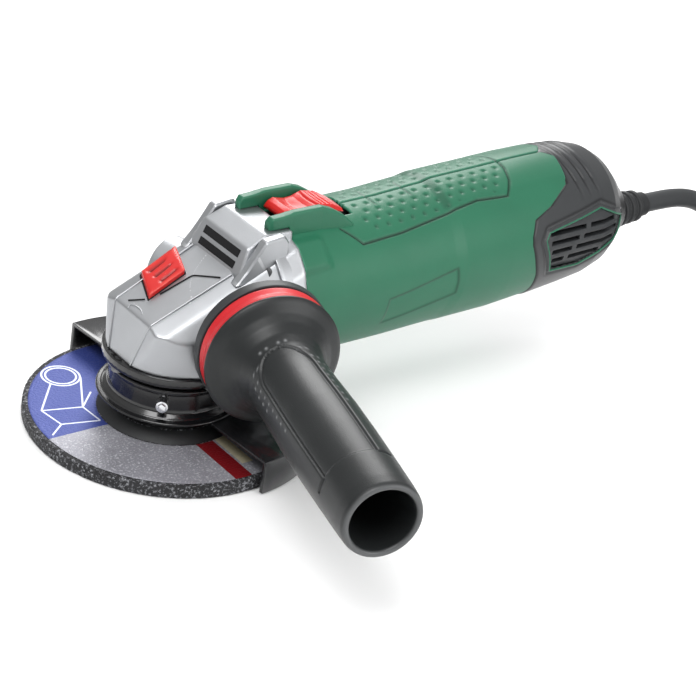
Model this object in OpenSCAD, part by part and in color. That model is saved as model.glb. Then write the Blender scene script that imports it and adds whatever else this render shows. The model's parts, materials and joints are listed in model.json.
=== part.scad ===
// Angle grinder with a 125 mm grinding disc, a vibration-damped side handle
// and a mains lead. The spindle's axis is X = 0, Y = 0, the motor lies along
// +X, the side handle leans out along -Y and the disc's underside is Z = 0.

/* [Disc] */
// Outer diameter of the grinding disc
disc_d = 125; // [115:1:125]
// Thickness of the grinding disc
disc_t = 6; // [4:0.5:6.5]
// Height by which the disc's centre is raised
disc_rise = 4.6; // [4:0.1:5]

/* [Gear head] */
// Height of the motor's axis above the disc's underside
motor_z = 57; // [57:1:58]
// Height of the gear head's lower rim
rim_z = 38; // [37.5:0.5:38.5]
// Half width of the gear head across its side faces
head_half = 33; // [32:0.5:34]
// Distance from the spindle to the joint with the motor housing
joint_x = 43; // [42.5:0.5:43.5]

/* [Housing] */
// Outer radius of the housing at its waist
shell_r = 33.2; // [32.8:0.1:33.4]
// Wall thickness of the housing shells
shell_wall = 2.6; // [2:0.1:2.8]
// Upward slope of the housing's axis, in degrees
shell_tilt = 2.65; // [2:0.05:2.8]
// Distance from the spindle to the end of the rear cap
tail_x = 253; // [252:0.5:254]

/* [Side handle] */
// Forward lean of the handle, in degrees
lean = 16; // [10:1:18]
// Distance from the motor's axis to the handle's open end
grip_end = 176; // [165:1:180]
// Radius of the grip at its middle
grip_r = 17.6; // [16.5:0.1:18]
// Radius of the damper's flanges
damper_r = 29.7; // [28:0.1:30]

/* [Guard] */
// Outer radius of the guard
guard_r = 67.2; // [66.5:0.1:70]
// Height of the guard's top
guard_z = 15.9; // [15:0.1:16]
// Turn of the guard away from the motor's axis, in degrees
guard_turn = 5; // [-20:1:20]

/* [Drive] */
// Teeth of the motor's pinion
pinion_teeth = 12; // [12:1:12]
// Teeth of the spindle's crown gear
crown_teeth = 36; // [36:1:36]

/* [Lead] */
// Diameter of the mains lead
lead_d = 9.5; // [8:0.5:10]

/* [Hidden] */
$fn = 64;
e = 0.01;                              // overlap for clean cuts
disc_r = disc_d / 2;
hub_r = 25;                            // flat of the disc's raised centre
hub_foot = 30;                         // foot of the raised centre's slope
bore_r = 11.12;                        // disc bore, 22.23 mm
hub_top = disc_t + disc_rise;
spindle_r = 7;                         // M14 thread
nut_r = 20;
pin_pcd = 30;                          // spanner holes of the clamping nut
pin_r = 2.5;
fit = 0.05;                            // radial gap of a running fit
neck_r = 24;                           // neck that carries the guard's collar
ridge_y = 14;                          // half width of the head's top panel
lock_x = -7;                           // lock pin, beside the spindle's top
lock_y = 10;
lock_r = sqrt(lock_x * lock_x + lock_y * lock_y);
lock_a = atan2(lock_y, lock_x);
panel_slope = 24.8;                    // slope of the head's top panel
flank_drop = 46;                       // fall of the flanks outside the top panel
button_plan = [[-16, 0.8], [2, 0.8], [8, 18], [-10, 18]];
stud_r = 5;                            // M10 handle thread
handle_x = 26.2;                       // handle's axis where it meets Y = 0
handle_z = 56.5;
boss_end = 38.4;                       // head's side face along the handle's axis
boss_r = 17;                           // boss under the handle's plate
far_boss_end = 36.5;                   // the unused socket's boss on the other side
far_boss_r = 14;
gear_in = 17;                          // inner and outer ends of the bevel teeth
gear_out = 24;
gear_grow = gear_out / gear_in;
pitch_in = gear_in * pinion_teeth / crown_teeth;
shaft_r = 4;
shell_x0 = joint_x;
shell_z0 = motor_z + 0.5;

// ---------- helpers ----------
// Puts local Z along +X at distance x on the motor's axis.
module on_motor(x, z = motor_z) { translate([x, 0, z]) rotate([0, 90, 0]) children(); }
// Ring with a bore, from z = 0 up.
module ring(r_out, r_in, h) {
    difference() {
        cylinder(r = r_out, h = h);
        translate([0, 0, -1]) cylinder(r = r_in, h = h + 2);
    }
}
// Puts local Z along the handle's axis; side = 1 is the handle's own side.
module on_handle(side = 1) {
    mirror([0, side > 0 ? 0 : 1, 0])
        translate([handle_x, 0, handle_z]) rotate([0, 0, -lean]) rotate([90, 0, 0]) children();
}
// Puts local Z along the housing's sloping axis.
module on_shell() { translate([shell_x0, 0, shell_z0]) rotate([0, 90 - shell_tilt, 0]) children(); }
// Extrudes an X-Z outline to both sides of Y = 0.
module side_cut(points, half = 60) {
    translate([0, half, 0]) rotate([90, 0, 0]) linear_extrude(2 * half) polygon(points);
}
// A deep-groove ball bearing, simplified to its rings and its ball row.
module ball_bearing(r_out, r_in, w) {
    rotate_extrude() difference() {
        translate([r_in, 0]) square([r_out - r_in, w]);
        translate([(r_in + r_out) / 2 - 1, w - 0.8]) square([2, 1]);
        translate([(r_in + r_out) / 2 - 1, -0.2]) square([2, 1]);
    }
}
// Flat-wire coil spring: a third of a ring, turned as it rises from z = 0.
module coil_spring(r_in, r_out, h, turns) {
    linear_extrude(h, twist = -360 * turns, slices = 12 * turns, $fn = 8)
        polygon(concat([for (a = [0:40:120]) r_out * [cos(a), sin(a)]],
                       [for (a = [120:-40:0]) r_in * [cos(a), sin(a)]]));
}
// A pan-head screw pointing along -Z from its seat at z = 0.
module pan_screw(r, len, head_r, head_h) {
    difference() {
        union() {
            translate([0, 0, -len]) cylinder(r = r, h = len + e, $fn = 32);
            cylinder(r = head_r, h = head_h, $fn = 32);
        }
        translate([0, 0, head_h - 1.2]) cylinder(r = head_r * 0.45, h = 2, $fn = 6);
    }
}

// ---------- gear head ----------
// Side view of the casting: nose, sloping top panel, hood and rear.
head_side = [[-29.6, rim_z], [-24, 59], [15, 77], [19.5, 88], [30, 91.8], [joint_x, 91],
             [joint_x, rim_z]];
screw_off = 19.2;                      // head screws, across and up from the motor's axis
// Plan of the casting: a round nose that widens to the side faces.
nose_r = 29.6;
screw_seat = 34;                       // seat of the head screws along X
wide_x = 12;
head_plan = concat([for (a = [110:10:250]) nose_r * [cos(a), sin(a)]],
                   [[wide_x, -head_half - 2], [joint_x, -head_half], [joint_x, head_half],
                    [wide_x, head_half + 2]]);
// One flank: the casting falls away outside the top panel's ridge.
module head_flank() {
    translate([-24, -ridge_y + 0.8, 59]) rotate([0, -panel_slope, 0]) rotate([flank_drop, 0, 0])
        translate([-30, -60, 0]) cube([110, 60, 40]);
}
module head_solid() {
    intersection() {
        side_cut(head_side);
        translate([0, 0, 20]) linear_extrude(80) polygon(head_plan);
        difference() {
            translate([-50, -50, 0]) cube(120);
            head_flank();
            mirror([0, 1, 0]) head_flank();
        }
    }
    on_motor(32, shell_z0) cylinder(r = 34, h = joint_x - 32);
    for (side = [1, -1]) {
        intersection() {
            on_handle(side) translate([0, 0, 18])
                cylinder(r = side > 0 ? boss_r : far_boss_r, h = (side > 0 ? boss_end : far_boss_end) - 18);
            translate([-10, -60, rim_z]) cube([joint_x + 9.6, 120, 60]);
        }
        translate([14, side > 0 ? 17 : -24, 72]) ear();
    }
}
// Prism over the button's plan, from lo to hi above the sloping top panel.
module button_block(lo, hi) {
    intersection() {
        translate([0, 0, 40]) linear_extrude(60) polygon(button_plan);
        translate([-24, 0, 59]) rotate([0, -panel_slope, 0]) translate([-10, -10, lo]) cube([60, 40, hi - lo]);
    }
}
// A raised ear beside the hood.
module ear() {
    translate([0, 7, 0]) rotate([90, 0, 0])
        linear_extrude(7) polygon([[-4, 0], [8, 19.5], [20, 21], [22, 16], [22, 0]]);
}
module gear_head() color("silver") difference() {
    head_solid();
    translate([0, 0, rim_z - 1]) cylinder(r = 26, h = 15);
    translate([0, 0, rim_z + 14 - e]) cylinder(r1 = 26, r2 = 17, h = 3);
    translate([0, 0, 54]) cylinder(r = 7, h = 7.2);
    on_motor(8.6) cylinder(r = 11, h = 30);
    on_motor(34.6) cylinder(r = 25, h = 20);
    for (side = [1, -1]) on_handle(side) translate([0, 0, 22]) cylinder(r = stud_r, h = 30);
    translate([lock_x, lock_y, 50]) cylinder(r = 2.3, h = 60, $fn = 32);
    translate([lock_x, lock_y, 57.5]) cylinder(r = 4.1, h = 20, $fn = 32);
    // pocket for the lock button
    translate([-4, 9.4, 0]) scale([1.05, 1.05, 1]) translate([4, -9.4, 0]) button_block(-4, 10);
    // two exhaust slots through the hood's face
    for (z = [80, 85]) translate([8, -13, z]) cube([26, 26, 2.6]);
    translate([24, -13, 70]) cube([12, 26, 18]);
    for (y = [-1, 1], dz = [-1, 1]) translate([0, screw_off * y, screw_off * dz]) {
        on_motor(20) cylinder(r = 2.05, h = 40, $fn = 32);
        on_motor(14) cylinder(r = 4.2, h = screw_seat - 14, $fn = 32);
    }
}
module bearing_flange() color("#1c1e20") difference() {
    union() {
        translate([0, 0, 34]) cylinder(r = 31, h = rim_z - 34);
        translate([0, 0, 19]) cylinder(r = neck_r, h = 16);
        translate([0, 0, rim_z - e]) cylinder(r = 25.9, h = 2.5);
    }
    translate([0, 0, 10]) cylinder(r = 10, h = 40);
    translate([0, 0, 24]) cylinder(r = 16, h = 30);
    for (a = [0:90:270]) rotate([0, 0, a]) translate([28.2, 0, 30]) cylinder(r = 1.9, h = 20, $fn = 32);
}
module flange_screws() color("#303234") for (a = [0:90:270]) rotate([0, 0, a])
    translate([28.2, 0, 34]) rotate([180, 0, 0]) pan_screw(1.85, 4, 2.7, 2);
module spindle_bearing() color("lightsteelblue") translate([0, 0, 24.1]) ball_bearing(15.98, 8 + fit, 10);
module top_bush() color("peru") translate([0, 0, 56]) ring(6.95, 5 + fit, 5);
module felt_seal() color("#a09a86") translate([0, 0, 19.6]) ring(9.95, 8.3, 4);
module bearing_plate() color("#2a2c2e") difference() {
    union() {
        on_motor(joint_x + 0.1) cylinder(r = 30.4, h = 4);
        on_motor(joint_x - 6.5) cylinder(r = 14, h = 7);
    }
    on_motor(joint_x - 7) cylinder(r = 11, h = 8.5);
    on_motor(joint_x - 2) cylinder(r = 5.5, h = 12);
    for (y = [-1, 1], dz = [-1, 1]) translate([0, screw_off * y, screw_off * dz])
        on_motor(joint_x - 2) cylinder(r = 2.1, h = 12, $fn = 32);
    for (a = [0:30:330]) on_motor(joint_x - 2) rotate([0, 0, a + 15])
        translate([19, 0, 0]) cylinder(r = 3, h = 12, $fn = 32);
}
module head_screws() color("#202224") for (y = [-1, 1], dz = [-1, 1])
    translate([0, screw_off * y, screw_off * dz]) on_motor(screw_seat) rotate([180, 0, 0]) pan_screw(2, 22, 3.9, 3);
module front_bearing() color("lightsteelblue") on_motor(joint_x - 5.9) ball_bearing(10.98, shaft_r + fit, 7.2);

// ---------- motor housing ----------
// Radius along the housing's own axis: waist, ramp to the rear, and taper.
shell_line = [[0, 34], [14, shell_r], [62, shell_r + 0.1], [82, shell_r + 0.4], [92, shell_r + 1],
              [117, shell_r + 1.3], [140, shell_r + 0.7], [160, shell_r - 0.3], [176, shell_r - 0.9]];
cap_line = [[100, shell_r + 2], [176, shell_r - 0.9], [186, shell_r - 3.4], [198, shell_r - 11.5], [209, 15]];
// Chevron edge between the shells and the rear cap, seen from the side.
chevron = [[195, 110], [201, 91], [197.5, 86.5], [184, 81], [171, 77], [170.5, 71], [177, 50], [186, 20]];
function inset(line, t) = [for (p = line) [p[1] - t, p[0]]];
// The cap's line moved inward, with its rear end moved forward as well.
function sunk(line, t) = [for (p = line) [p[1] - t, p[0] - (p[0] > 180 ? t : 0)]];
function back(line) = [for (i = [len(line) - 1:-1:0]) line[i]];
// Skin of the cap between two depths below its surface.
module cap_skin(t0, t1) {
    on_shell() rotate_extrude() polygon(concat(sunk(cap_line, t0), back(sunk(cap_line, t1))));
}
rail_foot = 87.2;                      // foot of the rails, inside the shells' wall
module shell_body() {
    difference() {
        on_shell() rotate_extrude() polygon(concat([[0, 0]], inset(shell_line, 0), [[0, 176]]));
        on_shell() rotate_extrude() polygon(concat([[0, -1], [33.9 - shell_wall, -1]],
                                                   inset(shell_line, shell_wall), [[0, 177]]));
        side_cut(concat(chevron, [[300, 0], [300, 120]]));
    }
    // raised rails on both sides of the switch
    for (side = [0, 1]) mirror([0, side, 0]) intersection() {
        side_cut([[33, rail_foot], [33, 98], [46, 99.4], [60, 99.4], [68, 96.5], [76, 92.5], [76, rail_foot]]);
        translate([0, 8.9, 0]) cube([100, 4.8, 120]);
    }
    // bosses for the head screws
    for (y = [-1, 1], dz = [-1, 1]) translate([0, screw_off * y, screw_off * dz])
        on_motor(joint_x + 4.2) cylinder(r = 5, h = 11, $fn = 32);
    // bosses for the shell screws
    intersection() {
        on_shell() rotate_extrude() polygon(concat([[0, 0]], inset(shell_line, 0.3), [[0, 176]]));
        for (b = shell_bolts) translate([b[0], -40, b[1]]) rotate([-90, 0, 0]) cylinder(r = 4, h = 80, $fn = 32);
    }
}
// Screws that hold the shells together: place along X, height, and seat of the head.
shell_bolts = [[53, 31, 13.5], [157, 36, 18], [157, 81.5, 24]];
// Switch slot, clearance for the head and screw holes.
module shell_cuts() {
    translate([30, -8.9, 80]) cube([50.5, 17.8, 30]);
    translate([20, -40, 20]) cube([joint_x - 20 + 0.1, 80, 72]);
    for (b = shell_bolts) translate([b[0], 0, b[1]]) rotate([-90, 0, 0]) {
        translate([0, 0, -14]) cylinder(r = 1.6, h = 60, $fn = 32);
        translate([0, 0, b[2]]) cylinder(r = 3.3, h = 30, $fn = 32);
    }
    for (y = [-1, 1], dz = [-1, 1]) translate([0, screw_off * y, screw_off * dz])
        on_motor(joint_x - 2) cylinder(r = 2.02, h = 20, $fn = 32);
}
module left_shell() color("#2f7a5a") difference() {
    intersection() { shell_body(); translate([0, 0.02, 0]) cube([320, 60, 120]); }
    shell_cuts();
}
module right_shell() color("#2f7a5a") difference() {
    intersection() { shell_body(); translate([0, -60.02, 0]) cube([320, 60, 120]); }
    shell_cuts();
}
module shell_screws() color("#303436") for (b = shell_bolts)
    translate([b[0], b[2], b[1]]) rotate([-90, 0, 0]) pan_screw(1.55, b[2] + 12, 3, 1.6);
module rear_cap() color("#3a3d3f") difference() {
    union() {
        intersection() {
            union() {
                cap_skin(0, shell_wall);
                on_shell() translate([0, 0, 205]) cylinder(r = 15.5, h = 4);
            }
            side_cut(concat(chevron, [[tail_x - 2, 0], [tail_x - 2, 120]]));
        }
        on_motor(244) cylinder(r = 11, h = tail_x - 244);
    }
    on_motor(230) cylinder(r = 7.2, h = 40);
    for (side = [1, -1]) vent_window(side);
}
// Block over one vent grille's outline, seen from the side.
vent_outline = [[216, 79], [182, 73.5], [180.5, 70], [187, 54.5], [207, 53.5], [232, 62], [236, 70]];
module vent_window(side) {
    translate([0, side > 0 ? 60 : -11, 0]) rotate([90, 0, 0])
        linear_extrude(49) polygon(vent_outline);
}
module grown_window(side, k) { translate([208, 0, 66]) scale([k, 1, k]) translate([-208, 0, -66]) vent_window(side); }
// Louvred panel with a wider frame behind the cap's wall.
module vent_grille(side) {
    difference() {
        union() {
            intersection() { cap_skin(0.6, 3.4); grown_window(side, 0.985); }
            intersection() { cap_skin(shell_wall + 0.05, 3.9); grown_window(side, 1.06); }
        }
        for (i = [0:3], part = [[186.6 - 1.1 * i, 194.6 + 4 * i], [197.6 + 4 * i, [218, 228, 230, 227][i]]])
            translate([part[0], side > 0 ? 8 : -60, 57.2 + 4.7 * i]) cube([part[1] - part[0], 52, 2.3]);
    }
}
module vent_grille_left() color("#26282a") vent_grille(1);
module vent_grille_right() color("#26282a") vent_grille(-1);

// ---------- parts inside the housing ----------
module stator_core() color("slategray") on_motor(92) difference() {
    cylinder(r = 26, h = 52);
    translate([0, 0, -1]) cylinder(r = 19.8, h = 54);
}
module field_coils() color("#b5693a") for (x = [84, 144.1]) on_motor(x) difference() {
    cylinder(r = 25.5, h = 7.9);
    translate([0, 0, -1]) cylinder(r = 19.8, h = 10);
}
module air_baffle() color("#2f3336") on_motor(80.5) ring(28.2, 19.5, 2);
module rear_bearing() color("lightsteelblue") on_motor(199) ball_bearing(9.5, shaft_r + fit, 6);
module bearing_sleeve() color("#1d1f21") on_motor(198) difference() {
    cylinder(r = 12, h = 8);
    translate([0, 0, 1]) cylinder(r = 9.5, h = 10);
    translate([0, 0, -1]) cylinder(r = 6, h = 10);
}
module brush_holders() color("goldenrod") for (s = [0, 180]) on_motor(172) rotate([0, 0, 90 + s]) difference() {
    translate([12.8, -4.5, -5]) cube([12.5, 9, 10]);
    translate([12, -3, -3.5]) cube([15, 6, 7]);
}
module carbon_brushes() color("#2b2b2b") for (s = [0, 180]) on_motor(172) rotate([0, 0, 90 + s])
    translate([12.25, -2.9, -3.4]) cube([8, 5.8, 6.8]);
module brush_springs() color("silver") for (s = [0, 180]) on_motor(172) rotate([0, 0, 90 + s])
    translate([20.3, 0, 0]) rotate([0, 90, 0]) coil_spring(1.6, 2.4, 4.6, 3);
module switch_unit() color("#44484a") difference() {
    translate([208, -9, 74]) cube([19, 18, 14.4]);
    translate([207, -2.4, 85.6]) cube([10, 4.8, 4.4]);
}
module capacitor() color("#d9d3b8") translate([184, -6, 72]) cube([18, 12, 8]);
module cord_clamp() color("#2a2d2f") difference() {
    translate([230, -8, 50.5]) cube([8, 16, 16]);
    on_motor(229) cylinder(r = lead_d / 2, h = 10);
}

// ---------- mains lead ----------
exit_x = 278;
lead_bend = 50;                        // bend radius of the drop to the floor
coil_r = 52;                           // middle of the coil's turns
lead_r = lead_d / 2;
coil_x = 386;
coil_y = -(coil_r + lead_d);
module cord_boot() color("#222527") on_motor(0) difference() {
    rotate_extrude() polygon([[0, 246], [7.1, 246], [7.1, tail_x], [9.8, tail_x], [9.8, 256.5], [7.6, 257],
                              [7.6, 259], [8.6, 259.5], [8.6, 261.5], [7.2, 262], [7.2, 264], [8.2, 264.5],
                              [8.2, 266.5], [6.8, 267], [6.8, 269], [7.8, 269.5], [7.8, 271.5], [6.3, 272],
                              [5.9, exit_x], [0, exit_x]]);
    translate([0, 0, 230]) cylinder(r = lead_r, h = 60);
}
// Route of the lead's middle line: out of the boot, down to the floor.
lead_route = [[232, 0, 57], [240, 0, 57], [252, 0, 57], [264, 0, 57], [276, 0, 57], [288, 0, 57], [300, 0, 56.6],
              [311, 0, 54.6], [321, 0, 50.6], [330, 0, 44.6], [338, 0, 37], [345, 0, 29], [352, 0, 20.8],
              [360, 0, 13.6], [369, 0, 8.4], [378, 0, 5.6], [386, 0, 4.8]];
lead_sides = 10;
function unit(v) = v / norm(v);
function along(p, i) = unit(p[min(i + 1, len(p) - 1)] - p[max(i - 1, 0)]);
function ring_points(c, t, r) = let (n = [0, 1, 0], b = cross(t, n))
    [for (k = [0:lead_sides - 1]) c + r * (cos(360 * k / lead_sides) * n + sin(360 * k / lead_sides) * b)];
module tube(path, r) {
    m = lead_sides;
    last = len(path) - 1;
    points = [for (i = [0:last]) each ring_points(path[i], along(path, i), r)];
    sides = [for (i = [0:last - 1], k = [0:m - 1])
        [i * m + k, i * m + (k + 1) % m, (i + 1) * m + (k + 1) % m, (i + 1) * m + k]];
    polyhedron(points, concat([[for (k = [m - 1:-1:0]) k]], sides, [[for (k = [0:m - 1]) last * m + k]]));
}
module cord_lead() color("#2c3033") tube(lead_route, lead_r - 0.02);
// Outer shape of the neat coil: two full layers and one turn on top.
module cord_coil() color("#2c3033") translate([coil_x, coil_y, 0]) rotate_extrude()
    polygon([[coil_r - 1.5 * lead_d, 0], [coil_r + 1.5 * lead_d, 0], [coil_r + 1.5 * lead_d, 3 * lead_d],
             [coil_r - 0.5 * lead_d, 3 * lead_d], [coil_r - 0.5 * lead_d, 2 * lead_d], [coil_r - 1.5 * lead_d, 2 * lead_d]]);
// Two-pin contour plug that lies on the coil.
plug_z = 3 * lead_d;
module on_plug() { translate([coil_x + coil_r, coil_y - 40, plug_z]) rotate([0, 0, 90]) children(); }
module mains_plug() color("#26292b") on_plug() difference() {
    union() {
        translate([0, -17.5, 0]) cube([30, 35, 16]);
        translate([30, -12, 0]) cube([10, 24, 16]);
        translate([39, 0, 8]) rotate([0, 90, 0]) cylinder(r1 = 7.5, r2 = 5.5, h = 16);
    }
    for (y = [-9.5, 9.5]) translate([-1, y, 8]) rotate([0, 90, 0]) cylinder(r = 2.4, h = 12, $fn = 32);
}
module plug_pins() color("silver") on_plug() for (y = [-9.5, 9.5])
    translate([-19, y, 8]) rotate([0, 90, 0]) cylinder(r = 2.4, h = 30, $fn = 32);

// ---------- side handle ----------
module handle_stud() color("silver") on_handle() {
    translate([0, 0, 24]) cylinder(r = stud_r - 0.02, h = 50);
    translate([0, 0, 46]) cylinder(r = 9, h = 6, $fn = 6);
}
module handle_plate() color("#1e2022") on_handle() rotate_extrude()
    polygon([[stud_r, boss_end], [24, boss_end], [27.5, boss_end + 0.8], [damper_r, boss_end + 2.5],
             [damper_r, boss_end + 7.4], [stud_r, boss_end + 7.4]]);
module handle_damper() color("#d8382c") on_handle() rotate_extrude()
    polygon([[9.1, 45.9], [damper_r - 0.8, 45.9], [damper_r - 1.2, 53.4], [9.1, 53.4]]);
grip_line = [[28.4, 53.5], [damper_r, 54.2], [damper_r + 0.1, 55.6], [28.2, 57], [24.4, 59], [21.2, 62],
             [18.8, 66], [17.4, 71], [16.9, 77], [17.1, 90], [grip_r, 110], [grip_r, 130], [17.3, 150],
             [16.9, grip_end - 7], [16.6, grip_end - 2], [15.2, grip_end]];
module handle_grip() color("#26292b") on_handle() difference() {
    rotate_extrude() polygon(concat([[5.02, 53.5]], grip_line, [[13.9, grip_end], [13.4, grip_end - 1],
                                    [12.6, grip_end - 38], [0, grip_end - 44], [0, 74.1], [5.02, 74.1]]));
    // shallow oval panel on the grip's upper front
    translate([0, grip_r + 0.9, 112]) rotate([90, 0, 0]) cylinder(r = 8, h = 1.8);
}

// ---------- spindle group ----------
module spindle() color("gainsboro") difference() {
    union() {
        translate([0, 0, 0.4]) cylinder(r = spindle_r, h = 14);
        translate([0, 0, 14.4 - e]) cylinder(r = 8, h = 30);
        translate([0, 0, 44.4 - 2 * e]) cylinder(r = 5, h = 16.6);
    }
    translate([0, 0, 0.3]) cylinder(r = 2.5, h = 8, $fn = 6);
}
module crown_gear() color("gray") {
    difference() {
        rotate_extrude() polygon([[8.02, 41], [22, 41], [gear_out, 43], [gear_out, motor_z - gear_grow * (pitch_in + 1)],
                                  [gear_in, motor_z - pitch_in - 1], [15.5, 48], [8.02, 48]]);
        for (k = [0:3]) rotate([0, 0, lock_a + 90 * k]) translate([lock_r, 0, 40])
            cylinder(r = 2.7, h = 20, $fn = 32);
    }
    for (k = [0:crown_teeth - 1]) rotate([0, 0, (k + 0.5) * 360 / crown_teeth])
        on_motor(gear_in) linear_extrude(gear_out - gear_in, scale = gear_grow)
            polygon([[pitch_in - 0.65, -0.4], [pitch_in - 0.65, 0.4], [pitch_in + 1.1, 0.6], [pitch_in + 1.1, -0.6]]);
}
module gear_circlip() color("dimgray") translate([0, 0, 48.2]) ring(9.5, 5.02, 1.2);
module inner_flange() color("darkgray") translate([0, 0, hub_top]) difference() {
    union() {
        cylinder(r = nut_r, h = 3.6);
        translate([0, 0, -1.6]) cylinder(r = bore_r - 0.06, h = 2);
    }
    translate([0, 0, -3]) cylinder(r = spindle_r + 0.02, h = 10);
}
module flange_o_ring() color("#1a1a1a") translate([0, 0, hub_top + 3.61]) ring(9.6, 8.02, 1.6);
module grinding_disc() color("#3c3c3e") rotate_extrude()
    polygon([[bore_r, disc_rise], [hub_r - 1, disc_rise], [hub_foot - 1.5, 0], [disc_r, 0], [disc_r, disc_t],
             [hub_foot, disc_t], [hub_r, hub_top], [bore_r, hub_top]]);
module disc_label() color("#d9dde2") translate([0, 0, disc_t + 0.02]) ring(disc_r - 2.3, hub_foot + 0.4, 0.25);
module clamp_nut() color("gray") difference() {
    union() {
        cylinder(r = nut_r, h = disc_rise);
        translate([0, 0, disc_rise - e]) cylinder(r = bore_r - 0.06, h = 2.2);
    }
    translate([0, 0, -1]) cylinder(r = spindle_r + 0.02, h = 12);
    for (a = [0, 180]) rotate([0, 0, a]) translate([pin_pcd / 2, 0, -1])
        cylinder(r = pin_r, h = 5, $fn = 32);
}

// ---------- armature ----------
module armature_shaft() color("gainsboro") on_motor(14) cylinder(r = shaft_r, h = 190);
module armature_core() color("slategray") on_motor(94) difference() {
    ring(19.2, shaft_r + 0.01, 48);
    for (k = [0:11]) rotate([0, 0, 30 * k]) translate([19.2, 0, -1]) cylinder(r = 1.4, h = 50, $fn = 24);
}
module armature_windings() color("#a85a2c") for (x = [84.5, 142.1]) on_motor(x) ring(17, shaft_r + 0.01, 9.4);
module commutator() color("peru") on_motor(163) difference() {
    ring(12, shaft_r + 0.01, 17);
    for (k = [0:23]) rotate([0, 0, 15 * k]) translate([11.2, -0.25, -1]) cube([2, 0.5, 16]);
}
module cooling_fan() color("#3a3f42") on_motor(60) difference() {
    ring(28.4, shaft_r + 0.01, 14);
    difference() {
        translate([0, 0, 3]) cylinder(r = 29, h = 12);
        translate([0, 0, 2]) cylinder(r = 9, h = 14);
        for (k = [0:13]) rotate([0, 0, k * 360 / 14]) translate([8, -0.8, 2]) cube([22, 1.6, 14]);
    }
}
module pinion() color("gray") on_motor(gear_in) linear_extrude(gear_out - gear_in, scale = gear_grow)
    difference() {
        polygon([for (k = [0:pinion_teeth - 1], p = [[-11, 4.75], [-4.2, 6.3], [4.2, 6.3], [11, 4.75]])
            p[1] * [cos(k * 360 / pinion_teeth + p[0]), sin(k * 360 / pinion_teeth + p[0])]]);
        circle(r = shaft_r + 0.02);
    }
module pinion_nut() color("dimgray") on_motor(13) difference() {
    cylinder(r = 5.5, h = 3.6, $fn = 6);
    translate([0, 0, 1]) cylinder(r = shaft_r + 0.02, h = 4);
}

// ---------- switch ----------
module switch_slider() color("#e0392b") difference() {
    side_cut([[44.5, 92.3], [44.5, 96.3], [47, 97.8], [54, 96.6], [60, 97], [66, 98.2], [70, 97], [76, 93.6], [76, 92.3]], 8);
    translate([53, 0, 118]) rotate([90, 0, 0]) translate([0, 0, -6]) cylinder(r = 21.6, h = 12);
}
module switch_rod() color("#3a3d3f") translate([60, -2, 86]) {
    cube([2.5, 4, 6.3]);
    translate([2, 0, 0]) cube([151, 4, 2.2]);
}

// ---------- spindle lock ----------
module lock_button() color("#e0392b") difference() {
    button_block(0.6, 3);
    translate([lock_x, lock_y, 60]) cylinder(r = 2.22, h = 7.42, $fn = 32);
    for (k = [0:2]) translate([-11 + 4.6 * k, 4, 0]) rotate([0, 0, 20])
        translate([0, 0, 59 + (13 + 4.6 * k) * tan(panel_slope) + 3.1]) rotate([0, -panel_slope, 0]) cube([0.9, 9, 2]);
}
module lock_pin() color("silver") translate([lock_x, lock_y, 50]) cylinder(r = 2.2, h = 17.4, $fn = 32);
module lock_spring() color("silver") translate([lock_x, lock_y, 57.6]) coil_spring(2.9, 3.7, 8, 5);

// ---------- guard ----------
guard_in = neck_r + 0.3;
module guard_sector(r, h) {
    intersection() {
        cylinder(r = r, h = h);
        rotate([0, 0, guard_turn]) translate([-1.8, -r, 0]) cube([2 * r, 2 * r, h]);
    }
}
module guard_shell() color("#232527") difference() {
    guard_sector(guard_r, guard_z);
    cylinder(r = guard_r - 1.8, h = guard_z - 1.5);
    translate([0, 0, -1]) cylinder(r = guard_in, h = 30);
    translate([0, 0, -1]) cylinder(r = 80, h = 1.4);
}

module guard_collar() color("#15171a") rotate_extrude() polygon([[guard_in, 15.95], [31.9, 15.95], [31.9, 17],
    [29, 18], [27, 20], [27, 28.6], [28.4, 29.2], [28.4, 31.4], [guard_in, 31.4]]);
module guard_screw() color("silver") rotate([0, 0, 229]) translate([27.05, 0, 24.6]) rotate([0, 90, 0]) {
    cylinder(r = 2.6, h = 4, $fn = 32);
    translate([0, 0, 4 - e]) cylinder(r = 1.8, h = 1, $fn = 6);
}

gear_head();
bearing_flange();
flange_screws();
spindle_bearing();
top_bush();
felt_seal();
bearing_plate();
head_screws();
front_bearing();
left_shell();
right_shell();
shell_screws();
rear_cap();
vent_grille_left();
vent_grille_right();
rear_bearing();
bearing_sleeve();
stator_core();
field_coils();
air_baffle();
brush_holders();
carbon_brushes();
brush_springs();
switch_unit();
capacitor();
cord_clamp();
cord_boot();
handle_stud();
handle_plate();
handle_damper();
handle_grip();
cord_lead();
cord_coil();
mains_plug();
plug_pins();
spindle();
crown_gear();
gear_circlip();
inner_flange();
flange_o_ring();
grinding_disc();
disc_label();
clamp_nut();
armature_shaft();
armature_core();
armature_windings();
commutator();
cooling_fan();
pinion();
pinion_nut();
switch_slider();
switch_rod();
lock_button();
lock_pin();
lock_spring();
guard_shell();
guard_collar();
guard_screw();
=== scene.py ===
"""Angle grinder: its surfaces and finishes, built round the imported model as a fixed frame."""

import json

import bpy
import numpy as np
from mathutils import Matrix

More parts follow.
